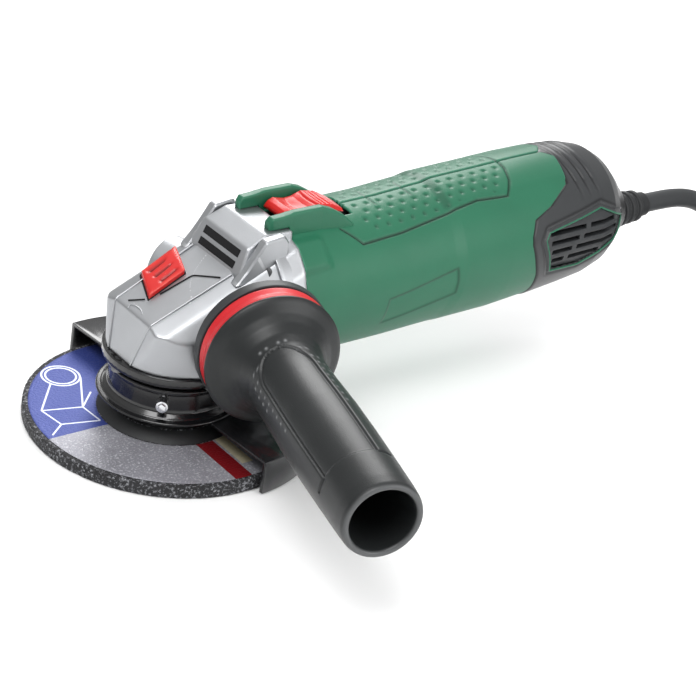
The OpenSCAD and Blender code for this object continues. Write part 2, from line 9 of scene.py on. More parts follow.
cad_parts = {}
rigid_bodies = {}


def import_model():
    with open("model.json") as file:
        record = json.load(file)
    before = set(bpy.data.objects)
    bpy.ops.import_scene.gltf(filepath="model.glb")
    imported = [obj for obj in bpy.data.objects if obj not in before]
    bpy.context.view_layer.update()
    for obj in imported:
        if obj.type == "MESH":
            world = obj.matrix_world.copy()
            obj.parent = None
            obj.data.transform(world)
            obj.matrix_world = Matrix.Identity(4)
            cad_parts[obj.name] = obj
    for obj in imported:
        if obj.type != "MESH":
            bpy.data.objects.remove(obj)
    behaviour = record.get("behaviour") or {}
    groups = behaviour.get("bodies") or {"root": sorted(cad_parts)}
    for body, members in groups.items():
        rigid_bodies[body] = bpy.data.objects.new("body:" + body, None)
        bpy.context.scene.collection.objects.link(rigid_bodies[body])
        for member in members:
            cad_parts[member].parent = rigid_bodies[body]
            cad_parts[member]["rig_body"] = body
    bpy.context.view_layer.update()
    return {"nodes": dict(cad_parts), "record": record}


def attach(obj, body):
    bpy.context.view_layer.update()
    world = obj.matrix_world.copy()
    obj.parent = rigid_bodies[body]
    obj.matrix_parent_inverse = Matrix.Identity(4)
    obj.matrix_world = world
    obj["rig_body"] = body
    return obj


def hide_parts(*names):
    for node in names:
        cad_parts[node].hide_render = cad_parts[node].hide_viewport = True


bl_info = {
    "name": "Angle grinder",
    "version": (1, 0, 0),
    "blender": (4, 5, 0),
    "location": "View3D > Sidebar > Grinder",
    "description": "Builds an angle grinder with its finishes",
    "category": "Object",
}

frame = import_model()
MM = 0.001
HANDLE_ROOT = np.array([26.2, 0, 56.5])  # where the handle's axis meets the tool's middle plane, mm
COIL_CENTRE = (386, -61.5)  # middle of the lead's coil on the floor, mm
COIL_RADIUS = 61.5  # outermost turn's middle line, mm
VIEW_ANGLES = (-42.3, 28.49, 9.57)  # azimuth, elevation and roll of the camera, degrees
VIEW_TARGET = (0.09985, 0.00151, 0.01275)  # what the camera looks at, m
VIEW_DISTANCE = 1.05029  # camera to target, m
VIEW_LENS = 118.12  # mm, on a sensor 36 mm wide
VIEW_SHIFT = (0.0028, 0.0014)


# ---------------------------------------------------------------- settings
class GrinderSizes(bpy.types.PropertyGroup):
    """Sizes in metres that the pieces are worked out from."""

    lead_radius: bpy.props.FloatProperty(
        name="Lead radius", description="Radius of the mains lead", default=0.00475, unit="LENGTH"
    )
    disc_radius: bpy.props.FloatProperty(
        name="Disc radius", description="Radius of the grinding disc", default=0.0625, unit="LENGTH"
    )
    grip_radius: bpy.props.FloatProperty(
        name="Grip radius", description="Radius of the handle's grip", default=0.0176, unit="LENGTH"
    )
    lean: bpy.props.FloatProperty(
        name="Handle lean", description="Forward lean of the handle", default=np.radians(16), subtype="ANGLE"
    )


def colour(name, rgb):
    return bpy.props.FloatVectorProperty(
        name=name, description=name + " of the tool", default=rgb, subtype="COLOR", min=0, max=1
    )


class GrinderColours(bpy.types.PropertyGroup):
    """Base colours of the visible finishes."""

    housing: colour("Housing green", (0.017, 0.122, 0.066))
    accent: colour("Accent red", (0.52, 0.012, 0.01))
    casting: colour("Casting silver", (0.4, 0.41, 0.425))
    cap: colour("Cap grey", (0.034, 0.036, 0.038))
    grip: colour("Grip black", (0.013, 0.0145, 0.015))
    label: colour("Label blue", (0.02, 0.042, 0.24))


def sizes():
    return bpy.context.scene.grinder_sizes


def colours():
    return bpy.context.scene.grinder_colours


# ---------------------------------------------------------------- shared shader effects
def new_group(name, inputs, outputs):
    """An empty shader node group with the named sockets."""
    group = bpy.data.node_groups.new(name, "ShaderNodeTree")
    for label, kind, value in inputs:
        socket = group.interface.new_socket(name=label, in_out="INPUT", socket_type=kind)
        if value is not None:
            socket.default_value = value
    for label, kind in outputs:
        group.interface.new_socket(name=label, in_out="OUTPUT", socket_type=kind)
    return group, group.nodes.new("NodeGroupInput"), group.nodes.new("NodeGroupOutput")


def grain_group():
    """Moulded or cast grain: noise at one scale, finer noise over it, and slow drift of colour."""
    group, source, sink = new_group(
        "surface_grain",
        [
            ("Vector", "NodeSocketVector", None),
            ("Scale", "NodeSocketFloat", 1500.0),
            ("Drift scale", "NodeSocketFloat", 60.0),
        ],
        [("Height", "NodeSocketFloat"), ("Drift", "NodeSocketFloat"), ("Speck", "NodeSocketFloat")],
    )
    n, link = group.nodes, group.links.new
    fine, drift, speck = (n.new("ShaderNodeTexNoise") for _ in range(3))
    ramp = n.new("ShaderNodeMapRange")
    fine.inputs["Detail"].default_value = 4
    drift.inputs["Detail"].default_value = 3
    speck.inputs["Detail"].default_value = 6
    speck.inputs["Roughness"].default_value = 0.7
    ramp.inputs["From Min"].default_value, ramp.inputs["From Max"].default_value = 0.52, 0.7
    for node, socket in ((fine, "Scale"), (drift, "Drift scale"), (speck, "Scale")):
        link(source.outputs["Vector"], node.inputs["Vector"])
        link(source.outputs[socket], node.inputs["Scale"])
    link(fine.outputs["Fac"], sink.inputs["Height"])
    link(drift.outputs["Fac"], sink.inputs["Drift"])
    link(speck.outputs["Fac"], ramp.inputs["Value"])
    link(ramp.outputs["Result"], sink.inputs["Speck"])
    return group


def wear_group():
    """Wear: a mask that is 1 on sharp outer edges, broken up by noise."""
    group, source, sink = new_group(
        "edge_wear",
        [
            ("Vector", "NodeSocketVector", None),
            ("Start", "NodeSocketFloat", 0.53),
            ("End", "NodeSocketFloat", 0.62),
        ],
        [("Mask", "NodeSocketFloat")],
    )
    n, link = group.nodes, group.links.new
    shape, noise = n.new("ShaderNodeNewGeometry"), n.new("ShaderNodeTexNoise")
    ramp, cut = n.new("ShaderNodeMapRange"), n.new("ShaderNodeMath")
    noise.inputs["Scale"].default_value = 420
    noise.inputs["Detail"].default_value = 5
    cut.operation = "MULTIPLY"
    link(source.outputs["Vector"], noise.inputs["Vector"])
    link(shape.outputs["Pointiness"], ramp.inputs["Value"])
    link(source.outputs["Start"], ramp.inputs["From Min"])
    link(source.outputs["End"], ramp.inputs["From Max"])
    link(ramp.outputs["Result"], cut.inputs[0])
    link(noise.outputs["Fac"], cut.inputs[1])
    link(cut.outputs["Value"], sink.inputs["Mask"])
    return group


GROUPS = {}
FINISHES = {}


def blend_colours(tree, factor, a, b):
    """A Mix node for colours; a and b are sockets or plain colours."""
    mix = tree.nodes.new("ShaderNodeMix")
    mix.data_type, mix.blend_type = "RGBA", "MIX"
    for socket, value in ((mix.inputs[0], factor), (mix.inputs[6], a), (mix.inputs[7], b)):
        if isinstance(value, bpy.types.NodeSocket):
            tree.links.new(value, socket)
        elif isinstance(value, (int, float)):
            socket.default_value = value
        else:
            socket.default_value = (*value, 1)
    return mix.outputs[2]


def scaled(tree, socket, low, high):
    """Maps a 0 to 1 socket to low to high."""
    ramp = tree.nodes.new("ShaderNodeMapRange")
    ramp.inputs["To Min"].default_value, ramp.inputs["To Max"].default_value = low, high
    tree.links.new(socket, ramp.inputs["Value"])
    return ramp.outputs["Result"]


def finish(
    name, rgb, metal=0.0, rough=(0.4, 0.55), grain=1500.0, bump=0.1, depth=0.0002,
    drift=0.25, worn=None, speck=None, coat=0.0, stretch=(1, 1, 1), paint=None, shade_and_tone=None,
):
    """One material: base colour with slow drift, specks, a second colour laid on by a per-point attribute
    (mostly painted shade in grooves and gaps) and worn edges; roughness and bump from grain.
    paint, if given, takes the tree and the colour socket so far and returns the colour socket to use."""
    material = bpy.data.materials.new(name)
    material.use_nodes = True
    material.diffuse_color = (*rgb, 1)
    tree = material.node_tree
    n, link = tree.nodes, tree.links.new
    shader = n["Principled BSDF"]
    place, mapping = n.new("ShaderNodeTexCoord"), n.new("ShaderNodeMapping")
    mapping.inputs["Scale"].default_value = stretch
    link(place.outputs["Object"], mapping.inputs["Vector"])
    surface, wear = n.new("ShaderNodeGroup"), n.new("ShaderNodeGroup")
    surface.node_tree, wear.node_tree = GROUPS["grain"], GROUPS["wear"]
    surface.inputs["Scale"].default_value = grain
    for node in (surface, wear):
        link(mapping.outputs["Vector"], node.inputs["Vector"])
    dark = [c * (1 - drift) for c in rgb]
    light = [min(1, c * (1 + drift)) for c in rgb]
    tint = blend_colours(tree, surface.outputs["Drift"], dark, light)
    if speck:
        tint = blend_colours(tree, surface.outputs["Speck"], tint, speck)
    if paint:
        tint = paint(tree, tint)
    # Painted shade: a per-point attribute blends in this colour to darken grooves, gaps and dimples; on the
    # grip the colour is a lighter grey instead.
    if shade_and_tone:
        seen = n.new("ShaderNodeAttribute")
        seen.attribute_name = "shade_and_tone"
        tint = blend_colours(tree, seen.outputs["Fac"], tint, shade_and_tone)
    if worn:
        tint = blend_colours(tree, wear.outputs["Mask"], tint, worn)
    link(tint, shader.inputs["Base Color"])
    link(scaled(tree, surface.outputs["Height"], *rough), shader.inputs["Roughness"])
    shader.inputs["Metallic"].default_value = metal
    shader.inputs["Coat Weight"].default_value = coat
    shader.inputs["Specular IOR Level"].default_value = 0.5 if metal > 0.5 else 0.34
    shader.inputs["Coat Roughness"].default_value = 0.18
    relief = n.new("ShaderNodeBump")
    relief.inputs["Strength"].default_value = bump
    relief.inputs["Distance"].default_value = depth
    link(surface.outputs["Height"], relief.inputs["Height"])
    link(relief.outputs["Normal"], shader.inputs["Normal"])
    return material


def disc_print(tree, under):
    """Print on the disc's label by angle round the spindle: a blue sector, a silver sector, a dark red
    stripe and a cream patch, with thin white rings and spokes on the blue."""
    n, link = tree.nodes, tree.links.new
    place, split = n.new("ShaderNodeTexCoord"), n.new("ShaderNodeSeparateXYZ")
    link(place.outputs["Object"], split.inputs["Vector"])

    def sums(operation, a, b=None, c=None):
        node = n.new("ShaderNodeMath")
        node.operation = operation
        for socket, value in zip(node.inputs, (a, b, c)):
            if isinstance(value, bpy.types.NodeSocket):
                link(value, socket)
            elif value is not None:
                socket.default_value = value
        return node.outputs[0]

    x, y = split.outputs["X"], split.outputs["Y"]
    blue = sums("MULTIPLY", sums("GREATER_THAN", y, -0.001), sums("LESS_THAN", x, 0.002))
    side = sums("LESS_THAN", y, -0.0295)
    stripe = sums("COMPARE", x, -0.0008, 0.0042)
    patch = sums("MULTIPLY", sums("COMPARE", x, 0.0074, 0.0028), sums("GREATER_THAN", y, -0.051))

    def ring(cx, cy, radius):
        dx, dy = sums("SUBTRACT", x, cx), sums("SUBTRACT", y, cy)
        far = sums("SQRT", sums("MULTIPLY_ADD", dx, dx, sums("MULTIPLY", dy, dy)))
        return sums("COMPARE", far, radius, 0.00045)

    def line(ax, ay, bx, by):
        long = float(np.hypot(bx - ax, by - ay))
        ux, uy = (bx - ax) / long, (by - ay) / long
        off = sums("COMPARE", sums("MULTIPLY_ADD", x, -uy, sums("MULTIPLY", y, ux)), ay * ux - ax * uy,
            0.0004)
        on = sums("COMPARE", sums("MULTIPLY_ADD", x, ux, sums("MULTIPLY", y, uy)), ax * ux + ay * uy + long
            / 2, long / 2)
        return sums("MULTIPLY", off, on)

    marks = sums("MAXIMUM", ring(-0.028, 0.042, 0.0085), ring(-0.028, 0.042, 0.0068))
    for ends in (
        (-0.0355, 0.038, -0.051, 0.02), (-0.0205, 0.0375, -0.033, 0.0155), (-0.051, 0.02, -0.049, 0.007),
        (-0.051, 0.02, -0.033, 0.0155), (-0.033, 0.0155, -0.032, 0.003), (-0.049, 0.007, -0.032, 0.003),
        (-0.033, 0.0155, -0.023, 0.025), (-0.049, 0.007, -0.057, 0.001),
    ):
        marks = sums("MAXIMUM", marks, line(*ends))
    white = sums("MULTIPLY", marks, blue)
    tint = blend_colours(tree, scaled(tree, blue, 0, 0.92), under, tuple(colours().label))
    tint = blend_colours(tree, scaled(tree, white, 0, 0.8), tint, (0.75, 0.78, 0.85))
    tint = blend_colours(tree, sums("MULTIPLY", stripe, side), tint, (0.2, 0.008, 0.012))
    return blend_colours(tree, scaled(tree, sums("MULTIPLY", patch, side), 0, 0.8), tint, (0.6, 0.53, 0.33))


class GRINDER_OT_finishes(bpy.types.Operator):
    """Make the shared shader effects and every finish of the tool"""

    bl_idname = "grinder.finishes"
    bl_label = "Finishes"

    def execute(self, context):
        c = colours()
        GROUPS.update(grain=grain_group(), wear=wear_group())
        bright = (0.8, 0.81, 0.83)
        made = dict(
            cast_aluminium=finish("cast_aluminium", c.casting, 0.9, (0.32, 0.48), 2600, 0.45, 0.00012, 0.08,
                bright),
            black_cast=finish("black_cast", (0.006, 0.0062, 0.007), 0.1, (0.12, 0.22), 900, 0.06, drift=0.2,
                coat=0.6),
            black_steel=finish("black_steel", (0.03, 0.031, 0.033), 0.8, (0.25, 0.4), 1800, 0.1,
                worn=(0.3, 0.3, 0.3)),
            bearing_steel=finish("bearing_steel", (0.6, 0.61, 0.63), 1, (0.16, 0.26), 2200, 0.05, drift=0.05),
            bronze=finish("bronze", (0.5, 0.32, 0.14), 1, (0.35, 0.5), 3000, 0.2),
            felt=finish("felt", (0.4, 0.37, 0.31), 0, (0.9, 1), 2500, 0.8, 0.0004),
            black_plastic=finish("black_plastic", (0.026, 0.028, 0.03), 0, (0.38, 0.52), 2600, 0.2, 0.0001,
                worn=(0.09, 0.09, 0.095)),
            # green_plastic's near black green second colour is painted shade for the shells' grooves, seam,
            # dimples and plate outline.
            green_plastic=finish("green_plastic", c.housing, 0, (0.34, 0.46), 3400, 0.42, 0.00012, 0.08,
                (0.09, 0.33, 0.22), shade_and_tone=(0.003, 0.008, 0.006)),
            # grey_rubber's near black second colour is painted shade in the rear cap's rib grooves, along its
            # chevron edge and round its vent windows, and also the cap's own dark rear end.
            grey_rubber=finish("grey_rubber", c.cap, 0, (0.28, 0.4), 2600, 0.25, 0.0001, 0.12,
                (0.13, 0.135, 0.14), shade_and_tone=(0.003, 0.003, 0.0035)),
            black_rubber=finish("black_rubber", (0.016, 0.017, 0.018), 0, (0.45, 0.6), 2400, 0.3, 0.0001,
                worn=(0.1, 0.1, 0.1)),
            laminated_steel=finish("laminated_steel", (0.3, 0.31, 0.33), 0.9, (0.35, 0.55), 900, 0.5,
                0.0002, stretch=(4, 0.3, 0.3)),
            copper=finish("copper", (0.55, 0.2, 0.07), 0.9, (0.25, 0.4), 1600, 0.6, 0.0003, 0.3,
                stretch=(0.4, 1, 1), coat=0.4),
            brass=finish("brass", (0.62, 0.44, 0.16), 1, (0.25, 0.38), 2000, 0.1),
            carbon=finish("carbon", (0.02, 0.02, 0.021), 0.1, (0.5, 0.7), 2400, 0.4),
            spring_steel=finish("spring_steel", (0.5, 0.51, 0.53), 1, (0.2, 0.34), 2500, 0.08, drift=0.1),
            cream_plastic=finish("cream_plastic", (0.66, 0.6, 0.44), 0, (0.3, 0.45), 1500, 0.1, drift=0.08),
            plated_steel=finish("plated_steel", (0.66, 0.67, 0.69), 1, (0.14, 0.28), 1700, 0.08, drift=0.08,
                worn=bright),
            red_rubber=finish("red_rubber", (0.5, 0.01, 0.016), 0, (0.34, 0.46), 2200, 0.12, 0.0001, 0.08,
                (0.85, 0.16, 0.13), coat=0.15),
            # grip_plastic's second colour is a lighter grey on the grip's pips and on a ring at its end.
            grip_plastic=finish("grip_plastic", c.grip, 0, (0.33, 0.44), 2800, 0.4, 0.00012, 0.15,
                (0.07, 0.073, 0.076), shade_and_tone=(0.2, 0.205, 0.21)),
            cable_rubber=finish("cable_rubber", (0.032, 0.034, 0.036), 0, (0.4, 0.52), 2600, 0.2, 0.0001,
                0.15),
            gear_steel=finish("gear_steel", (0.4, 0.41, 0.43), 1, (0.22, 0.38), 1900, 0.15, worn=bright),
            abrasive=finish("abrasive", (0.018, 0.018, 0.02), 0, (0.5, 0.8), 760, 1.0, 0.0011, 0.6, None,
                (0.42, 0.43, 0.46)),
            label_paper=finish("label_paper", (0.27, 0.27, 0.3), 0.35, (0.3, 0.6), 1000, 0.8, 0.0004, 0.4,
                None, (0.66, 0.66, 0.72), paint=disc_print),
            # red_plastic's dark red second colour is painted shade in the lock button's grooves.
            red_plastic=finish("red_plastic", c.accent, 0, (0.3, 0.42), 2200, 0.12, 0.0001, 0.07,
                (0.8, 0.14, 0.1), coat=0.15, shade_and_tone=(0.16, 0.003, 0.003)),
            black_painted_steel=finish("black_painted_steel", (0.012, 0.0125, 0.014), 0.1, (0.16, 0.26),
                1000, 0.06, drift=0.15, coat=0.5),
        )
        made["shadow_gap"] = finish("shadow_gap", (0.004, 0.004, 0.005), 0, (0.7, 0.9), 2000, 0.1)
        FINISHES.update(made)
        for row in frame["record"]["subparts"]:
            node = frame["nodes"][row["node"]]
            node.data.materials.clear()
            node.data.materials.append(made[row["material_slot"]])
        return {"FINISHED"}


# ---------------------------------------------------------------- mesh helpers
def piece(name, grids, body, slot, replaces=(), material=None, smooth=True, bevel=0.0, shade_and_tone=None):
    """A mesh from (points, faces) pairs in millimetres, joined, that rides on a body."""
    points, faces, start = [], [], 0
    for p, f in grids:
        points.append(p)
        faces.extend((np.asarray(f, int) + start).tolist() if isinstance(f, np.ndarray) else [
            [i + start for i in q] for q in f])
        start += len(p)
    mesh = bpy.data.meshes.new(name)
    mesh.from_pydata((np.concatenate(points) * MM).tolist(), [], faces)
    mesh.validate()
    # Per-point weight of the finish's second colour, mostly painted shade in grooves and gaps.
    if shade_and_tone is not None:
        values = np.zeros(len(mesh.vertices), np.float32)
        values[: shade_and_tone.size] = np.clip(shade_and_tone.reshape(-1), 0, 1)
        mesh.attributes.new("shade_and_tone", "FLOAT", "POINT").data.foreach_set("value", values)
    if smooth:
        mesh.shade_smooth()
    thing = bpy.data.objects.new(name, mesh)
    bpy.context.scene.collection.objects.link(thing)
    mesh.materials.append(FINISHES[material or slot])
    if bevel:
        m = thing.modifiers.new("edge", "BEVEL")
        m.width, m.segments, m.limit_method, m.angle_limit = bevel * MM, 2, "ANGLE", np.radians(32)
        m.harden_normals = True
    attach(thing, body)
    if replaces:
        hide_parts(*replaces)
    return thing


def grid(points, wrap=False, keep=None, flip=False):
    """Quads over an (m, n, 3) grid of points; wrap joins the last column to the first.
    keep, a mask of (m - 1, n or n - 1), leaves quads out."""
    m, n = points.shape[:2]
    i, j = np.meshgrid(np.arange(m - 1), np.arange(n if wrap else n - 1), indexing="ij")
    k = (j + 1) % n
    quads = np.stack([i * n + j, i * n + k, (i + 1) * n + k, (i + 1) * n + j], -1)
    quads = quads[keep] if keep is not None else quads.reshape(-1, 4)
    return points.reshape(-1, 3), quads[:, ::-1] if flip else quads


def turned(profile, steps=160, ripple=None):
    """A profile of (radius, height) turned round Z, with ripple(angle, radius, height) added to
    the radius."""
    profile = np.asarray(profile, float)
    a = np.linspace(0, 2 * np.pi, steps, endpoint=False)[None, :]
    r, h = profile[:, :1] + 0 * a, profile[:, 1:] + 0 * a
    if ripple is not None:
        r = r + ripple(a + 0 * r, r, h)
    return np.stack([r * np.cos(a), r * np.sin(a), h], -1)


def resample(line, step):
    """Points every step along a polyline, corners kept."""
    line = np.asarray(line, float)
    parts = []
    for a, b in zip(line[:-1], line[1:]):
        count = max(1, int(np.ceil(np.linalg.norm(b - a) / step)))
        parts.append(a + (b - a) * np.linspace(0, 1, count, endpoint=False)[:, None])
    return np.concatenate([*parts, line[-1:]])


def rounded(line, radius, step=0.3):
    """A polyline resampled and then averaged over a window, so that its corners are round."""
    fine = resample(line, step)
    half = max(1, int(radius / step))
    padded = np.concatenate([np.repeat(fine[:1], half, 0), fine, np.repeat(fine[-1:], half, 0)])
    kernel = np.ones(2 * half + 1) / (2 * half + 1)
    return np.stack([np.convolve(padded[:, k], kernel, "valid") for k in range(fine.shape[1])], 1)


def line_distance(px, py, line):
    """Distance from every point to the nearest segment of a polyline."""
    best = np.full(px.shape, 1e9)
    for (ax, ay), (bx, by) in zip(line[:-1], line[1:]):
        dx, dy = bx - ax, by - ay
        t = np.clip(((px - ax) * dx + (py - ay) * dy) / max(dx * dx + dy * dy, 1e-9), 0, 1)
        best = np.minimum(best, np.hypot(px - ax - t * dx, py - ay - t * dy))
    return best


def inside(px, py, line):
    """Whether points lie inside a closed polyline, by crossings."""
    odd = np.zeros(px.shape, bool)
    for (ax, ay), (bx, by) in zip(line, [*line[1:], line[0]]):
        if ay != by:
            odd ^= ((py < ay) != (py < by)) & (px < ax + (py - ay) * (bx - ax) / (by - ay))
    return odd


def step_up(x, a, b):
    """Smooth 0 to 1 between a and b: 3t^2 - 2t^3."""
    t = np.clip((x - a) / (b - a), 0, 1)
    return t * t * (3 - 2 * t)


def handle_place(points):
    """Moves points from the handle's own axis (local Z) to its place."""
    lean = sizes().lean
    out = np.array([-np.sin(lean), -np.cos(lean), 0.0])
    across = np.array([np.cos(lean), -np.sin(lean), 0.0])
    up = np.array([0, 0, 1.0])
    return HANDLE_ROOT + points[..., :1] * across + points[..., 1:2] * up + points[..., 2:] * out


# ---------------------------------------------------------------- stage
class GRINDER_OT_stage(bpy.types.Operator):
    """Make the pale floor, the soft lights and the camera"""

    bl_idname = "grinder.stage"
    bl_label = "Stage"

    def execute(self, context):
        mesh = bpy.data.meshes.new("floor")
        x = np.array([-30.0, 30.0])
        mesh.from_pydata([(a, b, -0.0001) for a in x for b in x], [], [(0, 2, 3, 1)])
        floor = bpy.data.objects.new("floor", mesh)
        context.scene.collection.objects.link(floor)
        pale = bpy.data.materials.new("pale_floor")
        pale.use_nodes = True
        pale.node_tree.nodes["Principled BSDF"].inputs["Base Color"].default_value = (0.9, 0.9, 0.9, 1)
        pale.node_tree.nodes["Principled BSDF"].inputs["Roughness"].default_value = 0.9
        mesh.materials.append(pale)
        world = bpy.data.worlds.new("studio")
        world.use_nodes = True
        world.node_tree.nodes["Background"].inputs["Color"].default_value = (1, 1, 1, 1)
        n, link = world.node_tree.nodes, world.node_tree.links.new
        place, split, ramp = n.new("ShaderNodeTexCoord"), n.new("ShaderNodeSeparateXYZ"), n.new(
            "ShaderNodeMapRange")
        ramp.inputs["From Min"].default_value, ramp.inputs["From Max"].default_value = 0.0, 0.9
        ramp.inputs["To Min"].default_value, ramp.inputs["To Max"].default_value = 0.3, 0.85
        link(place.outputs["Generated"], split.inputs["Vector"])
        link(split.outputs["Z"], ramp.inputs["Value"])
        link(ramp.outputs["Result"], n["Background"].inputs["Strength"])
        context.scene.world = world
        context.scene.view_settings.view_transform = "Standard"
        for name, place, aim, size, power in (
            ("key", (-0.35, -0.25, 0.85), (0.08, 0, 0.05), 0.5, 6),
            ("side", (0.35, -0.85, 0.45), (0.1, 0, 0.05), 0.6, 4.5),
            ("rim", (0.5, 0.6, 0.6), (0.12, 0, 0.06), 0.5, 6),
        ):
            data = bpy.data.lights.new(name, "AREA")
            data.energy, data.size = power, size
            lamp = bpy.data.objects.new(name, data)
            context.scene.collection.objects.link(lamp)
            back = np.array(place) - np.array(aim)
            lamp.location = place
            lamp.rotation_euler = Matrix(frame_axes(back)).to_euler()
        az, el, roll = np.radians(VIEW_ANGLES)
        back = np.array([np.sin(az) * np.cos(el), -np.cos(az) * np.cos(el), np.sin(el)])
        axes = frame_axes(back)
        right, up = axes[:, 0].copy(), axes[:, 1].copy()
        axes[:, 0] = np.cos(roll) * right + np.sin(roll) * up
        axes[:, 1] = -np.sin(roll) * right + np.cos(roll) * up
        data = bpy.data.cameras.new("camera")
        data.sensor_width, data.lens = 36, VIEW_LENS
        data.shift_x, data.shift_y = VIEW_SHIFT
        data.clip_start, data.clip_end = 0.05, 20
        camera = bpy.data.objects.new("camera", data)
        context.scene.collection.objects.link(camera)
        place = np.array(VIEW_TARGET) + back * VIEW_DISTANCE
        camera.matrix_world = Matrix.Translation(place) @ Matrix(axes).to_4x4()
        context.scene.camera = camera
        return {"FINISHED"}


def frame_axes(back):
    """Right, up and back as the columns of a turn, with up as near Z as it can be."""
    back = back / np.linalg.norm(back)
    right = np.cross([0, 0, 1.0], back)
    right /= np.linalg.norm(right)
    return np.stack([right, np.cross(back, right), back], 1)


# ---------------------------------------------------------------- lead
LEAD_ROUTE = [
    (264, 0, 57), (276, 0, 57), (288, 0, 57), (300, 0, 56.6), (311, 0, 54.6), (321, 0, 50.6), (330, 0, 44.6),
    (338, 0, 37), (345, 0, 29), (352, 0, 20.8), (360, 0, 13.6), (369, 0, 8.4), (378, 0, 5.6), (386, 0, 4.8),
]


def coil_path():
    """The coil's middle line, t in turns: radius 61.5, 52, 42.5, then back out, with a change of one
    diameter in the last sixth of each turn; the height climbs a diameter after turns 3 and 6."""
    d, w = 9.5, 1 / 6
    t = np.linspace(0, 7.2056, 300)
    radius = COIL_RADIUS + 0 * t
    for k, change in ((0, -d), (1, -d), (3, d), (4, d), (6, -d)):
        radius += change * step_up(t, k + 1 - w, k + 1)
    height = 4.8 + d * step_up(t, 3 - 2 * w, 3 - w) + d * step_up(t, 6 - 2 * w, 6 - w)
    height += 12.7 * step_up(t, 7.0, 7.2056)
    radius += 2.0 * step_up(t, 7.0, 7.2056)
    a = np.pi / 2 - 2 * np.pi * t
    x, y = COIL_CENTRE
    return np.stack([x + radius * np.cos(a), y + radius * np.sin(a), height], 1)


def tube(path, radius, sides=14):
    """A round tube: at each point of the path, a ring in the plane across the path."""
    tangent = np.gradient(path, axis=0)
    tangent /= np.linalg.norm(tangent, axis=1, keepdims=True)
    side = np.cross(tangent, [0, 0, 1.0])
    side /= np.linalg.norm(side, axis=1, keepdims=True)
    up = np.cross(side, tangent)
    a = np.linspace(0, 2 * np.pi, sides, endpoint=False)
    ring = side[:, None] * np.cos(a)[None, :, None] + up[:, None] * np.sin(a)[None, :, None]
    points, quads = grid(path[:, None] + radius * ring, wrap=True)
    last = len(points) - sides
    ends = [list(range(sides))[::-1], list(range(last, last + sides))]
    return points, [*quads.tolist(), *ends]


class GRINDER_OT_lead(bpy.types.Operator):
    """Make the mains lead with its coil"""

    bl_idname = "grinder.lead"
    bl_label = "Mains lead"

    def execute(self, context):
        path = np.concatenate([rounded(LEAD_ROUTE, 6, 2.0), coil_path()[1:]])
        lead = piece("mains_lead", [tube(path, sizes().lead_radius / MM)], "housing", "cable_rubber",
            ("cord_lead", "cord_coil"))
        return {"FINISHED"}


# ---------------------------------------------------------------- housing
SHELL_X = [43, 60, 77, 100, 120, 126, 132, 160, 182, 203, 218, 228, 234, 241, 247, 252]
SHELL_Z = [57.5, 58.2, 58.5, 59.0, 60.2, 60.5, 60.9, 61.8, 63.3, 64.6, 65.2, 65.4, 65.2, 64.4, 62.5, 60.5]
SHELL_R = [34.0, 33.3, 33.3, 33.4, 33.7, 33.8, 34.3, 34.5, 34.1, 33.2, 32.0, 29.5, 26.2, 20.5, 15.8, 13.0]
PAD = [(70, 15.5), (78, 25), (100, 24), (128, 21.5), (145, 19.5), (163, 21), (168, 14), (171, 6), (171.8, -2)]


def housing_point(x, a, lift):
    """Point of the housing at X, at angle a from its top towards -Y, raised by lift."""
    z, r = np.interp(x, SHELL_X, SHELL_Z), np.interp(x, SHELL_X, SHELL_R)
    return np.stack([x, -(r + lift) * np.sin(a), z + (r + lift) * np.cos(a)], -1)


LABEL_PLATE = [(89, 52.5), (127, 47), (128, 53.5), (128, 60), (88, 66)]


def shell_relief(x, arc):
    """Height added to the shell, and a weight of painted shade where the surface dips: a groove round the
    pad, cross grooves, dimples on a hexagonal lattice, the ramp, the seam along the top and the outlined
    plate."""
    d = line_distance(x, arc, PAD)
    line = np.exp(-((d / 0.5) ** 2))
    seam = np.exp(-((arc / 0.42) ** 2)) * step_up(x, 76, 80)
    # Painted shade along the groove round the pad and along the seam.
    lift, shade_and_tone = -0.9 * line - 0.9 * seam, np.maximum(line, seam)
    for at, reach in ((95, 9), (115, 9)):
        cross = np.exp(-(((x - at - 0.012 * arc**2) / 0.42) ** 2)) * step_up(reach - arc, 0, 4)
        lift -= 0.5 * cross
        # Painted shade in the cross grooves.
        shade_and_tone = np.maximum(shade_and_tone, 0.7 * cross)
    pad = inside(x, arc, [*PAD, (60, -2)]) & (d > 2.6) & (arc > 3.0) & (x > 84)
    row = np.round(arc / 4.6)
    u = (x - 3.4 * (row % 2)) / 6.8
    dimple = np.exp(-((np.hypot((u - np.round(u)) * 6.8, arc - row * 4.6) / 0.95) ** 2)) * pad
    lift -= 0.7 * dimple
    lift += 0.5 * step_up(x, 126, 131) * step_up(22 - arc, 0, 5)
    band = np.exp(-(((x - 128.5) / 2.4) ** 4)) * step_up(21 - arc, 0, 3)
    edge = line_distance(x, arc, [*LABEL_PLATE, LABEL_PLATE[0]])
    lift -= 0.35 * inside(x, arc, LABEL_PLATE) * step_up(edge, 0, 0.8)
    # Painted shade: a dark line round the plate stands for the shade of its recess, and the dimples and the
    # step of the ramp are darkened too.
    outline = 0.6 * np.exp(-((edge / 0.55) ** 2))
    return lift, np.maximum.reduce([shade_and_tone, 0.45 * dimple, 0.3 * band, outline])


def cap_edge(a):
    """X of the chevron edge between the shells and the cap, by angle from the top in degrees."""
    return np.interp(a, [0, 10, 38, 52, 59, 71, 78, 95, 107, 125, 180],
        [196, 201, 197.5, 184, 173, 170.5, 170.5, 174, 177, 180, 186])


